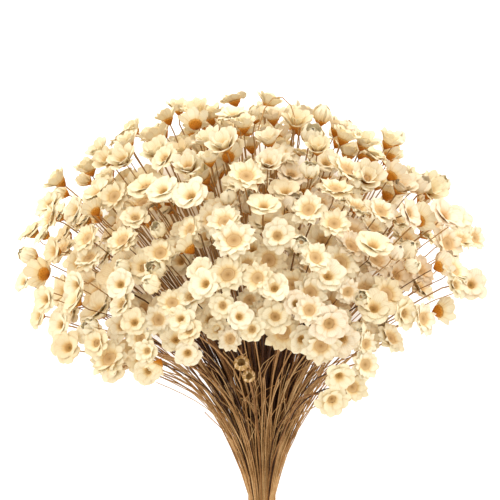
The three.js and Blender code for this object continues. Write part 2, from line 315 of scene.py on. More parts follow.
strands = [(0, 0)]
for ring in range(1, STRAND_RINGS + 1):
    in_ring = 6 * ring
    for number in range(in_ring):
        turn = math.tau * (number + 0.5 * (ring % 2)) / in_ring
        out = ring / (STRAND_RINGS + 0.5)
        strands.append((out * math.cos(turn), out * math.sin(turn)))


def grow(index, x, z, end, opening, radius):
    """A flower whose stem ends part way along the curve for its place in the bundle."""
    strand = min(range(len(strands)), key=lambda s: math.dist(strands[s], (x, z)))
    guides = stem_curve(x, z, 1 + TUFT_REACH * (2 * draw(strand, "tuft") - 1))
    a, b, c = guides
    heading = ((b - a) * (1 - end) + (c - b) * end).normalized()
    upturn = TURN_UP_MOST * (x * x + z * z) * draw(index, "upturn") if z > UNDERSIDE else 0
    level = heading.cross(UP).normalized()
    sideways = Quaternion(heading, math.tau * draw(index, "sideways")) @ level
    facing = Quaternion(sideways, TILT_MOST * draw(index, "tilt")) @ (heading + UP * upturn).normalized()
    straight = fan(x, z)[0] < STRAIGHT_UNDER or end < SHORT_END
    knots = [laid(on_curve(guides, stop)) for stop in ([end] if straight else [STEM_KNEE, end])]
    return SimpleNamespace(index=index, x=x, z=z, end=end, strand=strand, opening=opening,
                           radius=radius, guides=guides, knots=knots, facing=turned(facing))


flowers = []
for i in range(FLOWER_COUNT):
    out = math.sqrt((i + 0.5 + OUTWARD_JITTER * (draw(i, "outward") - 0.5)) / FLOWER_COUNT)
    turn = i * GOLDEN_TURN + ROUND_JITTER * (draw(i, "round") - 0.5) / math.sqrt(i + 1)
    x, z = out * math.cos(turn), out * math.sin(turn)
    if z > FRONT_EDGE:
        continue
    tier = TIERS[i % len(TIERS)] / (len(TIERS) - 1)
    depth = TIER_SPAN * (FRONT_TIERS if z > FRONT_FROM else 1)
    end = 1 - depth * lerp(tier ** TIER_POWER, draw(i, "tier"), TIER_JITTER)
    span = (0, BUD_OPEN_MOST) if draw(i, "bud") < BUD_SHARE else (BLOOM_OPEN_LEAST, 1)
    opening = lerp(*span, draw(i, "open"))
    flowers.append(grow(i, x, z, end, opening, lerp(*BLOOM_RADIUS, draw(i, "size"))))
for i, (x, z, end) in enumerate(BUTTONS, FLOWER_COUNT):
    flowers.append(grow(i, x, z, end, 0, BUTTON_RADIUS))
for i, (x, z) in enumerate(LOW_BLOOMS, FLOWER_COUNT + len(BUTTONS)):
    flowers.append(grow(i, x, z, 1, 1, lerp(*BLOOM_RADIUS, draw(i, "size"))))

# A bloom that would reach deep into the table is lifted, and its head is flattened there later.
for flower in flowers:
    neck = flower.knots[-1]
    dip = flower.radius * math.sqrt(1 - flower.facing.z ** 2)
    lowest = min(neck.z - STEM_RADIUS, neck.z + BLOOM_HEIGHT * flower.facing.z - dip)
    neck.z += max(0, -PRESSED - lowest)
    flower.neck = neck
    flower.middle = neck + flower.facing * (BLOOM_HEIGHT / 2)

# Where the solids' thin stems pass among the blooms.
passing = []
for flower in flowers:
    foot = laid(on_curve(stem_curve(*strands[flower.strand]), SPLIT_AT))
    path = flower.knots if len(flower.knots) == 2 else [foot, flower.knots[0]]
    passing.append([path[0].lerp(path[1], (s + 1) / STEM_SAMPLES) for s in range(STEM_SAMPLES)])
middles = np.array([flower.middle for flower in flowers])
passing_places = np.array(passing)


def half_width(flower, direction):
    """How far a bloom reaches from its middle in one direction."""
    along = flower.facing.dot(direction)
    return math.hypot(flower.radius * math.sqrt(max(0, 1 - along * along)), BLOOM_HEIGHT / 2 * along)


def widest_beside_bloom(flower, other):
    """The radius at which a bloom would come up to another that grows as it does."""
    apart = other.middle - flower.middle
    distance = apart.length
    apart.normalize()
    needed = half_width(flower, apart) + half_width(other, apart)
    return flower.radius * (distance - CLEARANCE) / needed


def widest_beside_stem(flower, point):
    """The radius at which a bloom would come up to a stem that passes through a place."""
    away = point - flower.middle
    along = away.dot(flower.facing)
    level = along / (BLOOM_HEIGHT / 2 + STEM_RADIUS + CLEARANCE)
    if abs(level) >= 1:
        return math.inf
    beside = (away - flower.facing * along).length
    return beside / math.sqrt(1 - level * level) - STEM_RADIUS - CLEARANCE


# How wide each bloom of the solids grows before it meets a neighbour or a stem.
solid_radii = []
for i, flower in enumerate(flowers):
    room_left = [flower.radius]
    for j in np.flatnonzero(np.linalg.norm(middles - middles[i], axis=1) < NEARBY):
        if j != i:
            room_left.append(widest_beside_bloom(flower, flowers[j]))
    for j, s in np.argwhere(np.linalg.norm(passing_places - middles[i], axis=2) < NEARBY):
        if j != i:
            room_left.append(widest_beside_stem(flower, passing[j][s]))
    solid_radii.append(max(BLOOM_RADIUS_MIN, min(room_left)))
for flower, radius in zip(flowers, solid_radii):
    flower.nominal = flower.radius
    flower.radius = radius

# Stems. Real glixia stems are dry, hair-thin rods of straw, from their cut ends through the tie
# to the blooms. Each one is drawn as a tube that bends a little of its own accord.
STEM_BELOW_WAIST = 205
CUT_UNEVENNESS = 3.5
CUT_END_FLARE = 1.38
CUT_END_TWIST = -0.45
BUNDLE_EDGE = 0.97
LOWER_STEPS = 4
STEM_STEPS = 11
STEM_THICKNESS = 0.68
STEM_WIDTHS = (0.75, 1.25)
STEM_TAPER = 0.8
WAVE_MOST = 3.4
WAVE_SHIFT = 6
NECK_STRAIGHT = 3.5
NECK_INSIDE = 0.6
# The straw, with its colours as a screen shows them: in the dark, the middle and the pale streaks
STRAW_ROUGHNESS = 0.7
STRAW_SHINE = 0.2
STRAW_STREAKS = 2600
STRAW_BLOTCHES = 90
STREAK_STRETCH = (1, 0.06, 1)
STREAK_DETAIL = 3
BLOTCH_DETAIL = 2
BLOTCH_SHARE = 0.45
STRAW_STOPS = (0.32, 0.5, 0.68)
STRAWS = {
    "straw_pale": ((150, 110, 64), (192, 152, 100), (220, 184, 134)),
    "straw_tan": ((130, 90, 47), (176, 130, 78), (206, 163, 112)),
    "straw_brown": ((92, 56, 24), (134, 90, 46), (168, 124, 74)),
    # The darkest straw stands mostly for painted shade deep in the bundle
    "straw_dark": ((36, 16, 5), (64, 34, 12), (96, 58, 25)),
}
PALE, TAN, BROWN, DARK = range(4)
BLEACHED_FROM = 0.085
BLEACHED_TO = 0.125
BLEACHED_MOST = 0.7
BLEACHED_STRAW = (182, 138, 82)
# Which straw a stem is made of, by how far out it stands in the bundle and by a draw; the darker straws
# further in and in the middle of the fan are painted shade
SHADED_BELOW = 0.74
SHADED_DARK = 0.2
OUTER_PALE = 0.84
OUTER_TAN = 0.52
OUTER_BROWN = 0.28
PALER_BESIDE = 0.6
BESIDE_FROM = 0.45
GROUPS = ("heart", "middle", "left", "right")


def below_waist(x, z, cut):
    """A stem's place in the waist, inside the tie, and the straight stretch to it from its cut end."""
    place = Vector((x, 0, z)) * min(1, BUNDLE_EDGE / math.hypot(x, z))
    end = Matrix.Rotation(CUT_END_TWIST, 3, "Y") @ (place * WAIST_RADIUS * CUT_END_FLARE)
    end.y = cut
    start = place * WAIST_RADIUS
    return start, [end.lerp(start, step / LOWER_STEPS) for step in range(LOWER_STEPS)]


def stem_course(flower):
    """The places along one stem, from its cut end to the neck of its bloom."""
    i = flower.index
    cut = -STEM_BELOW_WAIST + CUT_UNEVENNESS * (2 * draw(flower.strand, "cut") - 1)
    cut += CUT_UNEVENNESS * (draw(i, "cut") - 0.5)
    start, course = below_waist(flower.x, flower.z, cut)
    guides = (start, *flower.guides[1:])
    phase = math.tau * draw(i, "phase")
    sway = Vector((math.cos(phase), 0, math.sin(phase)))
    swing = WAVE_MOST * (2 * draw(i, "wave") - 1)
    for step in range(STEM_STEPS):
        share = step / STEM_STEPS
        wave = math.sin(math.tau * share + WAVE_SHIFT * draw(i, "wave"))
        bend = swing * math.sin(math.pi * share) * wave
        course.append(on_curve(guides, share * flower.end) + sway * bend)
    course = [laid(point) for point in course]
    course.append(flower.neck - flower.facing * NECK_STRAIGHT)
    course.append(flower.neck + flower.facing * NECK_INSIDE)
    for point in course:
        point.z = max(point.z, STEM_THICKNESS / 2)
    return course


def stem_tubes(name, courses, finishes, thickness=STEM_THICKNESS):
    """One mesh of round tubes along the courses; each course names the finish that it takes."""
    data = bpy.data.curves.new(name, "CURVE")
    data.dimensions = "3D"
    data.bevel_depth = 1.0
    data.bevel_resolution = 1
    data.use_fill_caps = True
    data.resolution_u = 1
    for finish in finishes:
        data.materials.append(finish)
    for number, (course, finish) in enumerate(courses):
        own_width = lerp(*STEM_WIDTHS, draw(number, "size"))
        spline = data.splines.new("POLY")
        spline.points.add(len(course) - 1)
        for step, (point, place) in enumerate(zip(spline.points, course)):
            point.co = (*(place * MM), 1)
            point.radius = own_width * thickness / 2 * MM * lerp(1, STEM_TAPER, step / len(course))
        spline.material_index = finish
        spline.use_smooth = True
    drawn = added(name, data)
    seen = drawn.evaluated_get(bpy.context.evaluated_depsgraph_get())
    mesh = bpy.data.meshes.new_from_object(seen)
    mesh.name = name
    bpy.data.objects.remove(drawn)
    return added(name, mesh)


def colour(red, green, blue):
    """A colour as seen on a screen, from 0 to 255, in the renderer's linear values."""
    linear = [(c / 255 / 12.92) if c <= 10 else ((c / 255 + 0.055) / 1.055) ** 2.4
              for c in (red, green, blue)]
    return (*linear, 1)


def shaded(tree, value, stops):
    """A colour that changes with a value, given as pairs of a place and a colour on a screen."""
    node = tree.nodes.new("ShaderNodeValToRGB")
    elements = node.color_ramp.elements
    elements[0].position = stops[0][0]
    elements[0].color = colour(*stops[0][1])
    elements[1].position = stops[-1][0]
    elements[1].color = colour(*stops[-1][1])
    for place, shade in stops[1:-1]:
        elements.new(place).color = colour(*shade)
    tree.links.new(value, node.inputs["Fac"])
    return node.outputs["Color"]


def dry_grain_group():
    """Long dry streaks and blotches on Object coordinates, put out as one value from 0 to 1."""
    group = bpy.data.node_groups.new("dry_grain", "ShaderNodeTree")
    for name in ("Streak Scale", "Blotch Scale"):
        group.interface.new_socket(name, in_out="INPUT", socket_type="NodeSocketFloat")
    group.interface.new_socket("Grain", in_out="OUTPUT", socket_type="NodeSocketFloat")
    inside = group.nodes.new("NodeGroupInput")
    outside = group.nodes.new("NodeGroupOutput")
    place = group.nodes.new("ShaderNodeTexCoord")
    stretch = group.nodes.new("ShaderNodeMapping")
    stretch.inputs["Scale"].default_value = STREAK_STRETCH
    streak = group.nodes.new("ShaderNodeTexNoise")
    streak.inputs["Detail"].default_value = STREAK_DETAIL
    blotch = group.nodes.new("ShaderNodeTexNoise")
    blotch.inputs["Detail"].default_value = BLOTCH_DETAIL
    both = group.nodes.new("ShaderNodeMix")
    both.inputs["Factor"].default_value = BLOTCH_SHARE
    group.links.new(place.outputs["Object"], stretch.inputs["Vector"])
    group.links.new(stretch.outputs["Vector"], streak.inputs["Vector"])
    group.links.new(place.outputs["Object"], blotch.inputs["Vector"])
    group.links.new(inside.outputs["Streak Scale"], streak.inputs["Scale"])
    group.links.new(inside.outputs["Blotch Scale"], blotch.inputs["Scale"])
    group.links.new(streak.outputs["Fac"], both.inputs["A"])
    group.links.new(blotch.outputs["Fac"], both.inputs["B"])
    group.links.new(both.outputs["Result"], outside.inputs["Grain"])
    return group


dry_grain = dry_grain_group()


def grained(tree, streaks, blotches):
    """The dry grain in one material, with its own fineness of streaks and blotches."""
    node = tree.nodes.new("ShaderNodeGroup")
    node.node_tree = dry_grain
    node.inputs["Streak Scale"].default_value = streaks
    node.inputs["Blotch Scale"].default_value = blotches
    return node.outputs["Grain"]


def add_relief(tree, shader, height, strength, depth):
    """Fine relief that only the light shows, with its depth in metres."""
    bump = tree.nodes.new("ShaderNodeBump")
    bump.inputs["Strength"].default_value = strength
    bump.inputs["Distance"].default_value = depth
    tree.links.new(height, bump.inputs["Height"])
    tree.links.new(bump.outputs["Normal"], shader.inputs["Normal"])


def straw_finish(name, shades):
    """Dry straw: a brown with long streaks and a faint dry shine, bleached near the blooms."""
    finish, tree, shader = new_finish(name, STRAW_ROUGHNESS)
    shader.inputs["Specular IOR Level"].default_value = STRAW_SHINE
    grain = grained(tree, STRAW_STREAKS, STRAW_BLOTCHES)
    streaked = shaded(tree, grain, list(zip(STRAW_STOPS, shades)))
    place = tree.nodes.new("ShaderNodeTexCoord")
    along = tree.nodes.new("ShaderNodeSeparateXYZ")
    tree.links.new(place.outputs["Object"], along.inputs["Vector"])
    near_bloom = rising(tree, along.outputs["Y"], BLEACHED_FROM, BLEACHED_TO, BLEACHED_MOST)
    straw = mixed(tree, near_bloom, streaked, colour(*BLEACHED_STRAW))
    tree.links.new(straw, shader.inputs["Base Color"])
    add_relief(tree, shader, grain, strength=0.25, depth=0.0002)
    return finish


def straw_of(flower):
    """Stems further in take the dark or brown straws, and outer ones pick pale, tan, brown or dark straw
    by a draw, darker more often in the middle of the fan; both stand for painted shade among the other
    stems.
    """
    pick = draw(flower.index, "colour") + PALER_BESIDE * (abs(flower.x) - BESIDE_FROM)
    if math.hypot(flower.x, flower.z) < SHADED_BELOW:
        return DARK if pick > SHADED_DARK else BROWN
    for straw, least in ((PALE, OUTER_PALE), (TAN, OUTER_TAN), (BROWN, OUTER_BROWN)):
        if pick > least:
            return straw
    return DARK


def strand_group(index):
    """Which piece a strand's stems and blooms belong to: the heart, the middle, or a side."""
    ring = round(math.hypot(*strands[index]) * (STRAND_RINGS + 0.5))
    if ring < STRAND_RINGS:
        return "middle" if ring == STRAND_RINGS - 1 else "heart"
    return "left" if strands[index][0] < 0 else "right"


straw_finishes = [straw_finish(name, shades) for name, shades in STRAWS.items()]
for group in GROUPS:
    own = [flower for flower in flowers if strand_group(flower.strand) == group]
    courses = [(stem_course(flower), straw_of(flower)) for flower in own]
    piece = stem_tubes(f"stems_{group}", courses, straw_finishes)
    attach(piece, "root")

# Loose stems. Thin pale stems whose blooms have broken off cross the others in front of the
# bundle's fan, and one long bent one makes a loop over the crown.
LOOSE_COUNT = 60
LOOSE_FIRST = 1000
LOOSE_THICKNESS = 0.5
LOOSE_ROUND = (0.12, 0.88)
LOOSE_OUT = (0.75, 1.04)
LOOSE_CUT = (0.96, 1)
LOOSE_VIGOUR = 0.98
LOOSE_LAST = (0.42, 0.86)
LOOSE_SWING = 13
LOOSE_SWING_POWER = 1.5
LOOSE_BENDS = 1.6
LOOSE_LIFT = 1.2
LOOSE_TAN = 0.4
LOOSE_STEPS = 12
LOOP = ((-10, 60, 46), (-7, 110, 56), (-4.5, 150, 56), (-2, 166, 54), (0.5, 174, 53), (4, 178.5, 52.5),
        (8, 178.8, 52), (11.5, 175.5, 51.5), (13, 171, 51), (13.5, 167, 50.5))


def loose_course(i):
    """A broken stem that leaves the tie with the others and wanders across them."""
    turn = math.pi * lerp(*LOOSE_ROUND, draw(i, "round"))
    out = lerp(*LOOSE_OUT, draw(i, "outward"))
    x, z = out * math.cos(turn), out * math.sin(turn)
    start, course = below_waist(x, z, -STEM_BELOW_WAIST * lerp(*LOOSE_CUT, draw(i, "cut")))
    guides = (start, *stem_curve(x, z, LOOSE_VIGOUR)[1:])
    last = lerp(*LOOSE_LAST, draw(i, "break"))
    swing = LOOSE_SWING * (2 * draw(i, "wave") - 1)
    for step in range(LOOSE_STEPS + 1):
        share = step / LOOSE_STEPS
        bend = math.sin(LOOSE_BENDS * math.pi * share * (0.5 + draw(i, "phase")))
        aside = swing * share ** LOOSE_SWING_POWER * bend
        lift = LOOSE_LIFT * share * draw(i, "tilt")
        course.append(on_curve(guides, share * last) + Vector((aside, 0, lift)))
    return [laid(point) for point in course]


loose = [(loose_course(i), PALE if draw(i, "colour") > LOOSE_TAN else TAN)
         for i in range(LOOSE_FIRST, LOOSE_FIRST + LOOSE_COUNT)]
loose.append(([laid(Vector(point)) for point in LOOP], TAN))
loose_stems = stem_tubes("loose_stems", loose, straw_finishes, LOOSE_THICKNESS)
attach(loose_stems, "root")

# Blooms. Each head is a small brown cone of bracts that holds rings of papery petals round a
# tan disc; some are hollow cups, some flat stars, some closed globes. Radius 1 before placing.
PETAL, BRACT, DISC = range(3)
MARKS = ("along", "across", "tone", "painted_shade")
RIM_ANGLE = math.radians(60)
PETAL_ROWS = 4
PETAL_THICKNESS = 0.016
PETAL_LENGTHS = (0.82, 1.08)
PETAL_WIDTHS = (0.88, 1.1)
PETAL_LEAN = 0.3
BEND_STEPS = 8
OUTLINE_AT = (0, 0.28, 0.55, 0.8, 1)
ROUNDED = (0.5, 0.74, 0.95, 1, 0.7)
POINTED = (0.62, 0.92, 1, 0.78, 0.24)
CLOSED = (0.7, 1, 1, 0.8, 0.5)
CUPPING_LOST = 0.4
SPACING_JITTER = 0.35
CONE_ROUNDNESS = 0.7
CONE_HOLLOW = 0.7
POLE = 0.01
DISC_UNDERSIDE = 0.3
DIMPLE_WIDTH = 0.6


def mark_all(bm, along, across):
    """Writes where each corner lies on its petal, cup or disc, for the finishes to read."""
    layers = {name: bm.verts.layers.float.new(name) for name in MARKS}
    for vert in bm.verts:
        vert[layers["along"]] = along(vert)
        vert[layers["across"]] = across(vert)


def keep_part(bm, parts, material):
    """Turns a small bmesh into a mesh that joins the head's other parts, with its rims sharp."""
    for face in bm.faces:
        face.material_index = material
        face.smooth = True
    for edge in bm.edges:
        edge.smooth = edge.calc_face_angle(0) < RIM_ANGLE
    parts.append(mesh_of(bm, "part"))


def petal(parts, look, turn, seed, ring):
    """One petal: a grid drawn out to its outline, bent up and over, cupped and thickened."""
    bm = bmesh.new()
    bmesh.ops.create_grid(bm, x_segments=2, y_segments=PETAL_ROWS, size=0.5)
    mark_all(bm, lambda v: v.co.y + 0.5, lambda v: 2 * v.co.x)
    length = look.length * ring.length * lerp(*PETAL_LENGTHS, draw(seed, "size"))
    width = look.width * ring.width * lerp(*PETAL_WIDTHS, draw(seed, "outward"))
    rise = ring.rise + look.rise_spread * (draw(seed, "tilt") - 0.5)
    bend = ring.bend + look.rise_spread * (draw(seed, "upturn") - 0.5)
    lean = PETAL_LEAN * (draw(seed, "sideways") - 0.5)
    ruffle = look.ruffle * (2 * draw(seed, "wave") - 1)
    for vert in bm.verts:
        share = vert.co.y + 0.5
        side = 2 * vert.co.x
        reach = height = 0
        for step in range(BEND_STEPS):
            angle = rise + (bend - rise) * share * (step + 0.5) / BEND_STEPS
            reach += math.cos(angle) * share / BEND_STEPS
            height += math.sin(angle) * share / BEND_STEPS
        outline = np.interp(share, OUTLINE_AT, look.outline)
        tip = 1 - look.round_tip * side * side * share ** 3
        across = side * width * outline + lean * share
        cupped = look.cupping * side * side * width * (1 - CUPPING_LOST * share)
        cupped += ruffle * side * share ** 2
        vert.co = Vector((across, ring.start + length * reach * tip,
                          ring.level + length * height * tip + cupped))
    bmesh.ops.recalc_face_normals(bm, faces=bm.faces)
    bmesh.ops.solidify(bm, geom=bm.faces[:], thickness=PETAL_THICKNESS)
    bmesh.ops.rotate(bm, verts=bm.verts, cent=(0, 0, 0), matrix=Matrix.Rotation(turn, 3, "Z"))
    keep_part(bm, parts, ring.material)


def petal_ring(parts, look, ring, seed):
    """One ring of petals, spaced a little unevenly."""
    for k in range(ring.petals):
        place = k + ring.shift + SPACING_JITTER * (draw(seed + k, "spin") - 0.5)
        petal(parts, look, math.tau * place / ring.petals, seed + k, ring)


def bract_cone(parts, radius, height):
    """The brown bracts under the petals: a cup that narrows to the stem and is hollow on top."""
    bm = bmesh.new()
    bmesh.ops.create_uvsphere(bm, u_segments=9, v_segments=6, radius=1)
    for vert in bm.verts:
        down = max(0, -vert.co.z)
        out = math.hypot(vert.co.x, vert.co.y)
        kept = (1 - down) ** CONE_ROUNDNESS / out if down and out > POLE else 1
        level = height * (1 - down) if down else height - CONE_HOLLOW * radius * vert.co.z
        vert.co = Vector((vert.co.x * kept * radius, vert.co.y * kept * radius, level))
    mark_all(bm, lambda v: v.co.z / height, lambda v: math.atan2(v.co.y, v.co.x) / math.pi)
    keep_part(bm, parts, BRACT)


def seed_disc(parts, radius, level, crown, dimple):
    """The tan disc inside the petals: a low dome with a dimple in the middle."""
    bm = bmesh.new()
    bmesh.ops.create_uvsphere(bm, u_segments=10, v_segments=8, radius=radius)
    for vert in bm.verts:
        out = math.hypot(vert.co.x, vert.co.y) / radius
        if vert.co.z > 0:
            vert.co.z *= crown
            vert.co.z -= dimple * radius * max(0, 1 - out / DIMPLE_WIDTH)
        else:
            vert.co.z *= DISC_UNDERSIDE
        vert.co.z += level
    mark_all(bm, lambda v: math.hypot(v.co.x, v.co.y) / radius, lambda v: crown)
    keep_part(bm, parts, DISC)


def ring_of(petals, start, level, length, width, rise, bend, shift=0.0, material=PETAL):
    """One ring of petals in a kind's looks, which rise and bend over by degrees."""
    return SimpleNamespace(petals=petals, start=start, level=level, length=length, width=width,
                           rise=math.radians(rise), bend=math.radians(bend), shift=shift,
                           material=material)


# The kinds of head. A cone has a radius and a height; a disc has a radius, a level, how high it
# is crowned and how deep its dimple is.
LOOKS = {
    "trumpet": SimpleNamespace(
        length=0.9, width=0.37, outline=ROUNDED, round_tip=0.12, cupping=0.1, ruffle=0.12,
        rise_spread=0.3, cone=(0.37, 0.4), disc=(0.22, 0.36, 0.1, 0.3),
        rings=(ring_of(petals=9, start=0.2, level=0.36, length=1, width=1, rise=64, bend=-14),
               ring_of(petals=8, start=0.19, level=0.36, length=0.8, width=0.86, rise=74,
                       bend=8, shift=0.5))),
    "daisy": SimpleNamespace(
        length=0.7, width=0.235, outline=POINTED, round_tip=0.08, cupping=0.12, ruffle=0.14,
        rise_spread=0.7, cone=(0.37, 0.4), disc=(0.37, 0.42, 0.2, 0.15),
        rings=(ring_of(petals=13, start=0.33, level=0.4, length=1, width=1, rise=30, bend=-8),
               ring_of(petals=11, start=0.31, level=0.43, length=0.78, width=0.9, rise=50,
                       bend=8, shift=0.5))),
    "rosette": SimpleNamespace(
        length=0.78, width=0.31, outline=ROUNDED, round_tip=0.14, cupping=0.14, ruffle=0.12,
        rise_spread=0.45, cone=(0.37, 0.4), disc=(0.26, 0.38, 0.18, 0.25),
        rings=(ring_of(petals=10, start=0.26, level=0.38, length=1, width=1, rise=48, bend=-10),
               ring_of(petals=8, start=0.22, level=0.4, length=0.74, width=0.85, rise=66,
                       bend=16, shift=0.5))),
    "fan_cup": SimpleNamespace(
        length=0.9, width=0.27, outline=ROUNDED, round_tip=0.14, cupping=0.14, ruffle=0.08,
        rise_spread=0.42, cone=(0.39, 0.5), disc=(0.2, 0.42, 0.3, 0.4),
        rings=(ring_of(petals=10, start=0.27, level=0.4, length=1, width=1, rise=62, bend=42),
               ring_of(petals=8, start=0.18, level=0.42, length=0.86, width=0.95, rise=78,
                       bend=60, shift=0.5))),
    "tulip": SimpleNamespace(
        length=1.08, width=0.3, outline=CLOSED, round_tip=0.12, cupping=-0.08, ruffle=0.06,
        rise_spread=0.2, cone=(0.37, 0.4), disc=(0.32, 0.58, 1.3, 0),
        rings=(ring_of(petals=8, start=0.2, level=0.3, length=1, width=1, rise=38, bend=126),
               ring_of(petals=7, start=0.13, level=0.36, length=0.84, width=1, rise=50,
                       bend=132, shift=0.5))),
    "globe": SimpleNamespace(
        length=1.15, width=0.28, outline=CLOSED, round_tip=0.1, cupping=-0.1, ruffle=0.03,
        rise_spread=0.14, cone=(0.34, 0.36), disc=(0.34, 0.66, 1.1, 0),
        rings=(ring_of(petals=9, start=0.2, level=0.3, length=1, width=1, rise=35, bend=152),
               ring_of(petals=6, start=0.12, level=0.36, length=0.88, width=1, rise=44,
                       bend=150, shift=0.5))),
    "button": SimpleNamespace(
        length=0.5, width=0.17, outline=ROUNDED, round_tip=0.1, cupping=0.2, ruffle=0.05,
        rise_spread=0.2, cone=(0.56, 0.5), disc=(0.36, 0.3, 0.1, 0.5),
        rings=(ring_of(petals=15, start=0.5, level=0.38, length=1, width=1, rise=80,
                       bend=170, material=DISC),
               ring_of(petals=13, start=0.44, level=0.34, length=0.8, width=1, rise=86,
                       bend=150, shift=0.5, material=DISC))),
}
VARIANTS = 3
FIRST_SEED = 5000
SEEDS_A_KIND = 500
SEEDS_A_HEAD = 100
SEEDS_A_RING = 40


def bloom_head(name, look, seed):
    """One whole head as a mesh, which is copied to each stem that carries its kind."""
    parts = []
    bract_cone(parts, *look.cone)
    for number, ring in enumerate(look.rings):
        petal_ring(parts, look, ring, seed + SEEDS_A_RING * number)
    seed_disc(parts, *look.disc)
    bm = bmesh.new()
    for mesh in parts:
        bm.from_mesh(mesh)
        bpy.data.meshes.remove(mesh)
    return mesh_of(bm, name)


heads = {}
for number, (kind, look) in enumerate(LOOKS.items()):
    first = FIRST_SEED + SEEDS_A_KIND * number
    heads[kind] = [bloom_head(f"{kind}_{v}", look, first + SEEDS_A_HEAD * v) for v in range(VARIANTS)]


# The finishes of a head, with their colours as a screen shows them
PAPER_TINTS = ((0, (244, 226, 184)), (0.35, (250, 238, 202)), (0.7, (252, 242, 212)), (1, (249, 230, 202)))
# Warmer towards the petal's root: partly the paper's own colour, partly painted shade in the throat
ROOT_TINTS = ((0, (226, 186, 122)), (0.24, (251, 234, 198)), (0.48, (255, 255, 255)))
ROOT_SHOWS = 0.8
# Painted shade at the seams between overlapping petals, along their side edges
SEAM_SHADE_TINT = (228, 192, 132)
SEAM_SHADE_FROM = 0.66
SEAM_SHADE_SHOWS = 0.36
VEIN_TINT = (214, 180, 134)
# Painted shade, multiplied into heads that stand deep in the dome
PAINTED_SHADE_TINT = (240, 206, 146)
BRACT_TINTS = ((0, (120, 64, 10)), (0.3, (180, 106, 22)), (0.7, (200, 128, 36)), (0.95, (220, 166, 86)))
BRACT_GRAIN = (178, 100, 22)
GRAIN_SHOWS = 0.4
SCALE_TINT = (116, 60, 12)
PEACH_TINTS = ((0, (196, 144, 86)), (0.2, (224, 180, 122)), (0.55, (240, 204, 152)), (1, (246, 218, 174)))
# Darker olive for discs low in a hollow cup: partly the florets' own colour, partly painted shade
OLIVE_TINTS = ((0, (128, 88, 30)), (0.4, (176, 132, 60)), (1, (216, 178, 112)))
RING_TINT = (204, 156, 100)
OLIVE_UNDER = 0.15
PEACH_OVER = 0.25


def attribute(tree, name):
    """What mark_all or place_head wrote at each corner."""
    node = tree.nodes.new("ShaderNodeAttribute")
    node.attribute_name = name
    return node.outputs["Fac"]


def wave_of(tree, name, pace):
    """A wave over one of the marks."""
    return computed(tree, "SINE", computed(tree, "MULTIPLY", attribute(tree, name), pace))


def crests(tree, waves, strength):
    """The upper halves of the waves alone, as the factor of a mix."""
    return computed(tree, "MULTIPLY", computed(tree, "MAXIMUM", waves, 0.0), strength)


def with_painted_shade(tree, base):
    """Painted shade: a warmer and darker colour for what lies deep in the dome, between the other blooms.
    """
    return mixed(tree, attribute(tree, "painted_shade"), base, colour(*PAINTED_SHADE_TINT), "MULTIPLY")


def petal_paper():
    """Cream paper with fine veins and its own tint a bloom; warmer and darker towards its root, partly the
    paper's own colour and partly painted shade down in the throat, and golden at its side edges as painted
    shade at the seams between petals.
    """
    finish, tree, shader = new_finish("petal_paper", roughness=0.6)
    shader.inputs["Specular IOR Level"].default_value = 0.3
    cream = shaded(tree, attribute(tree, "tone"), PAPER_TINTS)
    root = shaded(tree, attribute(tree, "along"), ROOT_TINTS)
    from_middle = computed(tree, "ABSOLUTE", attribute(tree, "across"))
    edge = rising(tree, from_middle, SEAM_SHADE_FROM, 1, SEAM_SHADE_SHOWS)
    veins = wave_of(tree, "across", pace=19)
    paper = mixed(tree, ROOT_SHOWS, cream, root, "MULTIPLY")
    paper = mixed(tree, edge, paper, colour(*SEAM_SHADE_TINT))
    paper = mixed(tree, crests(tree, veins, strength=0.16), paper, colour(*VEIN_TINT))
    tree.links.new(with_painted_shade(tree, paper), shader.inputs["Base Color"])
    add_relief(tree, shader, veins, strength=0.3, depth=0.00012)
    return finish


def bract_brown():
    """Golden brown bracts, darker towards the stem, with a pattern of scales and a dry grain."""
    finish, tree, shader = new_finish("bract_brown", roughness=0.6)
    shader.inputs["Specular IOR Level"].default_value = 0.1
    grain = grained(tree, streaks=1500, blotches=260)
    scales = computed(tree, "MULTIPLY", wave_of(tree, "across", pace=31), wave_of(tree, "along", pace=17))
    brown = shaded(tree, attribute(tree, "along"), BRACT_TINTS)
    brown = mixed(tree, computed(tree, "MULTIPLY", grain, GRAIN_SHOWS), brown, colour(*BRACT_GRAIN))
    brown = mixed(tree, crests(tree, scales, strength=0.45), brown, colour(*SCALE_TINT))
    tree.links.new(brown, shader.inputs["Base Color"])
    return finish


def disc_tan():
    """Rings of florets: peach on a flat star's wide disc, and a darker olive down in a hollow cup, partly
    the florets' own colour and partly painted shade.
    """
    finish, tree, shader = new_finish("disc_tan", roughness=0.7)
    rings = wave_of(tree, "along", pace=25.1)
    peach = shaded(tree, attribute(tree, "along"), PEACH_TINTS)
    olive = shaded(tree, attribute(tree, "along"), OLIVE_TINTS)
    crowned = rising(tree, attribute(tree, "across"), OLIVE_UNDER, PEACH_OVER)
    florets = mixed(tree, crowned, olive, peach)
    florets = mixed(tree, crests(tree, rings, strength=0.2), florets, colour(*RING_TINT))
    tree.links.new(with_painted_shade(tree, florets), shader.inputs["Base Color"])
    add_relief(tree, shader, rings, strength=0.5, depth=0.0002)
    return finish


# How a kind of head is picked for a stem, and how it is sized, turned and tinted there
LARGEST = 1.16
FULLER = 1.8
SIZES = (0.84, 1.1)
SMALLER_ON_TOP = 1.03
LARGER_BELOW = 1.22
OUT_OF_ROUND = (0.9, 1.06)
HEAD_DEPTH = 0.95
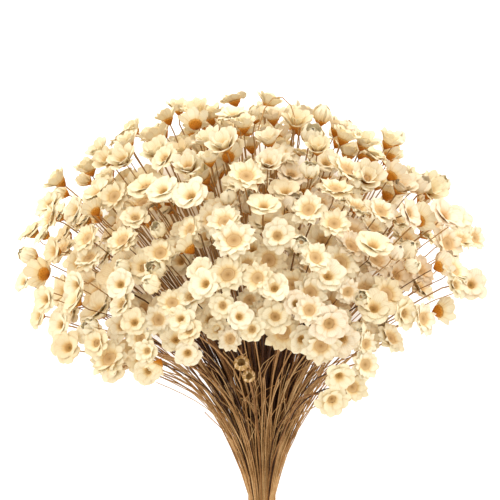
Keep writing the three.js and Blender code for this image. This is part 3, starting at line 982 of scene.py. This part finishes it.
# A prime, so that the variant that is copied doesn't follow the head's turn
HEAD_PICK = 7919
GLOBE_UNDER = 0.12
CUPS_FROM = 138
NO_CUP = 0.25
KINDS_ASIDE = 0.3
TRUMPET_UNDER = 0.45
ROSETTE_UNDER = 0.65
NODDING = 0.045
NODDING_ABOVE = -0.2
NODDING_OUTSIDE = 0.9
NOD_ANGLE = math.radians(78)
NOD_LIFT = 2.2
FLATTENED_BELOW = 1 * MM
TONE_LEAST = 0.12
TONE_SPREAD = 0.7
TONE_ASIDE = 0.22
# How much painted shade a head gets for how deep in the dome it stands
PAINTED_SHADE_MOST = 0.12
PAINTED_SHADE_POWER = 1.5


def nods(flower):
    """A few open heads in front hang over to one side, so that their brown cones show."""
    in_front = flower.z > NODDING_ABOVE and flower.end > NODDING_OUTSIDE
    return draw(flower.index, "kind") < NODDING and in_front


def kind_of(flower):
    """Which head a stem carries: closed ones where the solids have buds, and open ones in patches."""
    if 0 <= flower.index - FLOWER_COUNT < len(BUTTONS):
        return "button"
    if flower.opening <= BUD_OPEN_MOST:
        return "globe" if flower.opening < GLOBE_UNDER else "tulip"
    on_top = flower.neck.y > CUPS_FROM and draw(flower.index, "break") > NO_CUP
    if on_top or nods(flower):
        return "fan_cup"
    pick = draw(flower.index, "kind") + KINDS_ASIDE * flower.x
    return "trumpet" if pick < TRUMPET_UNDER else "rosette" if pick < ROSETTE_UNDER else "daisy"


def place_head(bm, flower):
    """Copies a head to the end of its stem, turned, sized and marked for its own tint and for the painted
    shade of its depth in the dome.
    """
    i = flower.index
    choices = heads[kind_of(flower)]
    head = choices[int(draw(i, "spin") * HEAD_PICK) % len(choices)].copy()
    depth = min(1, max(0, (1 - flower.end) / TIER_SPAN)) if i < FLOWER_COUNT else 0
    size = min(LARGEST * flower.nominal, FULLER * flower.radius) * lerp(1, LARGER_BELOW, depth)
    size *= lerp(*SIZES, draw(i, "loose")) * (SMALLER_ON_TOP if flower.neck.y > CUPS_FROM else 1)
    wide = size * lerp(*OUT_OF_ROUND, draw(i, "squash"))
    scale = Matrix.Diagonal((wide, size, size * HEAD_DEPTH, 1))
    turn = Matrix.Rotation(math.tau * draw(i, "spin"), 4, "Z")
    neck, facing = flower.neck, flower.facing
    if nods(flower) and i < FLOWER_COUNT:
        neck = flower.neck + flower.facing * NOD_LIFT
        side = flower.facing.cross(UP).normalized()
        facing = Quaternion(side, -NOD_ANGLE) @ flower.facing
    stand = facing.to_track_quat("Z", "Y").to_matrix().to_4x4()
    head.transform(Matrix.Translation(neck * MM) @ Matrix.Scale(MM, 4) @ stand @ turn @ scale)
    for vert in head.vertices:
        if vert.co.z < FLATTENED_BELOW:
            vert.co.z = FLATTENED_BELOW * math.exp(vert.co.z / FLATTENED_BELOW - 1)
    tone = min(1, max(0, TONE_SPREAD * draw(i, "tone") + TONE_LEAST + TONE_ASIDE * flower.x))
    count = len(head.vertices)
    head.attributes["tone"].data.foreach_set("value", [tone] * count)
    head.attributes["painted_shade"].data.foreach_set("value", [PAINTED_SHADE_MOST * depth ** PAINTED_SHADE_POWER] * count)
    bm.from_mesh(head)
    bpy.data.meshes.remove(head)


bloom_finishes = [petal_paper(), bract_brown(), disc_tan()]
for group in GROUPS:
    bm = bmesh.new()
    for flower in flowers:
        if strand_group(flower.strand) == group:
            place_head(bm, flower)
    piece = added(f"blooms_{group}", mesh_of(bm, f"blooms_{group}"))
    for finish in bloom_finishes:
        piece.data.materials.append(finish)
    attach(piece, "root")
    sprays = [f"spray_{s:02d}" for s in range(len(strands)) if strand_group(s) == group]
    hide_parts(*sprays)
    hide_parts(*sprays)

# The tie. One strip of raffia goes five times round the stems below the waist, crosses over in a
# knot on the upper side, and leaves two short ends that are torn into narrower strips.
TIE_TOP = -4
TIE_TURNS = 5
TIE_WIDTH = 1.9
TIE_RADIUS = 7.8
TIE_STEPS = 44
TIE_OVERLAP = 0.52
CREASE_DEPTH = 0.3
CREASES = 3.5
CREASE_WANDER = 0.6
WANDER_PACE = 1.7
RIPPLE_DEPTH = 0.12
RIPPLE_PACE = 2.3
RAFFIA_THICKNESS = 0.34
RAFFIA_CROWN = 0.25
RAFFIA_ACROSS = 4
KNOT_HEIGHT = 8.25
KNOT_RADIUS = 2.2
KNOT_CORE = 0.92
KNOT_SHAPE = (1.25, 1, 0.75)
KNOT_WRAPS = 3
WRAP_SLANT = -0.4
WRAP_GROWTH = 0.09
WRAP_HALF_WIDTH = 0.75
TAIL_LENGTH = 17
TAIL_SHORTER = 0.06
TAIL_SPREAD = 4.6
TAIL_STRIPS = 3
TAIL_WIDTH = 2.1
TAIL_HALF_STRIP = 0.42
TAIL_STEPS = 16
TAIL_RISE = 0.9
TAIL_CURL = 0.7
TAIL_CURL_PACE = 2.5
TAIL_CUPPING = 0.12
RAFFIA_TINTS = ((0.3, (150, 108, 58)), (0.5, (201, 162, 104)), (0.7, (226, 194, 142)))
FIBRES_ACROSS = 7
FIBRES_ALONG = 22
FIBRE_DETAIL = 3
KNOT_MIDDLE = Vector((0, TIE_TOP - 0.5 * TIE_TURNS * TIE_WIDTH, KNOT_HEIGHT))


def strip(bm, steps, place_of):
    """A flat strip: a grid whose corners go where place_of(share along, place across) says."""
    made = bmesh.new()
    bmesh.ops.create_grid(made, x_segments=steps, y_segments=RAFFIA_ACROSS, size=0.5)
    mark_all(made, lambda v: v.co.x + 0.5, lambda v: 2 * v.co.y)
    for vert in made.verts:
        vert.co = laid(place_of(vert.co.x + 0.5, 2 * vert.co.y)) * MM
    bmesh.ops.recalc_face_normals(made, faces=made.faces)
    bmesh.ops.solidify(made, geom=made.faces[:], thickness=RAFFIA_THICKNESS * MM)
    for face in made.faces:
        face.smooth = True
    mesh = mesh_of(made, "strip")
    bm.from_mesh(mesh)
    bpy.data.meshes.remove(mesh)


def round_the_stems(share, side):
    """The five turns from the underside on, each beside the last, with folds that wander a little."""
    turn = math.tau * TIE_TURNS * share
    wander = CREASE_WANDER * math.sin(WANDER_PACE * turn)
    fold = CREASE_DEPTH * math.cos(CREASES * side + wander) + RIPPLE_DEPTH * math.sin(RIPPLE_PACE * turn)
    out = TIE_RADIUS + fold - RAFFIA_CROWN * side * side
    along = TIE_TOP - TIE_WIDTH * (0.5 + (TIE_TURNS - 1) * share) + TIE_OVERLAP * TIE_WIDTH * side
    return Vector((-out * math.sin(turn), along, -out * math.cos(turn)))


def in_knot(place):
    """A place in the round knot, pressed into the shape of the real one."""
    return KNOT_MIDDLE + Vector([part * size for part, size in zip(place, KNOT_SHAPE)])


def round_the_knot(wrap):
    """One short turn over the knot, each at its own slant."""
    slant = Matrix.Rotation(math.pi * (wrap / KNOT_WRAPS + WRAP_SLANT), 3, "Z")

    def place_of(share, side):
        turn = math.tau * share
        out = KNOT_RADIUS * (1 + WRAP_GROWTH * wrap) - RAFFIA_CROWN * side * side
        flat = Vector((out * math.cos(turn), WRAP_HALF_WIDTH * side, out * math.sin(turn)))
        return in_knot(slant @ flat)
    return place_of


def loose_end(direction, number):
    """One torn strip of an end: it leaves the knot, lies down the stems and curls at its tip."""
    middle = (number - (TAIL_STRIPS - 1) / 2) / TAIL_STRIPS
    length = TAIL_LENGTH * (1 - TAIL_SHORTER * number)

    def place_of(share, side):
        splayed = middle * (1 + 0.5 * share * share)
        narrowed = TAIL_HALF_STRIP * side / TAIL_STRIPS * (1 - 0.5 * share ** 3)
        aside = direction * TAIL_SPREAD * share * (1.5 - 0.5 * share)
        curl = TAIL_CURL * math.sin(TAIL_CURL_PACE * share + number) * share
        height = TAIL_RISE * share + curl + TAIL_CUPPING * side * side
        return KNOT_MIDDLE + Vector((aside + TAIL_WIDTH * (splayed + narrowed), -length * share, height))
    return place_of


def raffia_finish():
    """Dry raffia: a straw colour with fibres that run along the strip."""
    finish, tree, shader = new_finish("raffia", roughness=0.62)
    place = tree.nodes.new("ShaderNodeCombineXYZ")
    tree.links.new(computed(tree, "MULTIPLY", attribute(tree, "across"), FIBRES_ACROSS), place.inputs["X"])
    tree.links.new(computed(tree, "MULTIPLY", attribute(tree, "along"), FIBRES_ALONG), place.inputs["Y"])
    fibres = tree.nodes.new("ShaderNodeTexNoise")
    fibres.inputs["Scale"].default_value = 1
    fibres.inputs["Detail"].default_value = FIBRE_DETAIL
    tree.links.new(place.outputs["Vector"], fibres.inputs["Vector"])
    tree.links.new(shaded(tree, fibres.outputs["Fac"], RAFFIA_TINTS), shader.inputs["Base Color"])
    add_relief(tree, shader, fibres.outputs["Fac"], strength=0.4, depth=0.0003)
    return finish


bm = bmesh.new()
strip(bm, TIE_STEPS * TIE_TURNS, round_the_stems)
for wrap in range(KNOT_WRAPS):
    strip(bm, TIE_STEPS, round_the_knot(wrap))
core = bmesh.ops.create_uvsphere(bm, u_segments=14, v_segments=9, radius=KNOT_CORE * KNOT_RADIUS)
for vert in core["verts"]:
    vert.co = laid(in_knot(vert.co)) * MM
for direction in (-1, 1):
    for number in range(TAIL_STRIPS):
        strip(bm, TAIL_STEPS, loose_end(direction, number))
raffia_tie = added("raffia_tie", mesh_of(bm, "raffia_tie"))
raffia_tie.data.materials.append(raffia_finish())
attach(raffia_tie, "root")
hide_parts("tie")
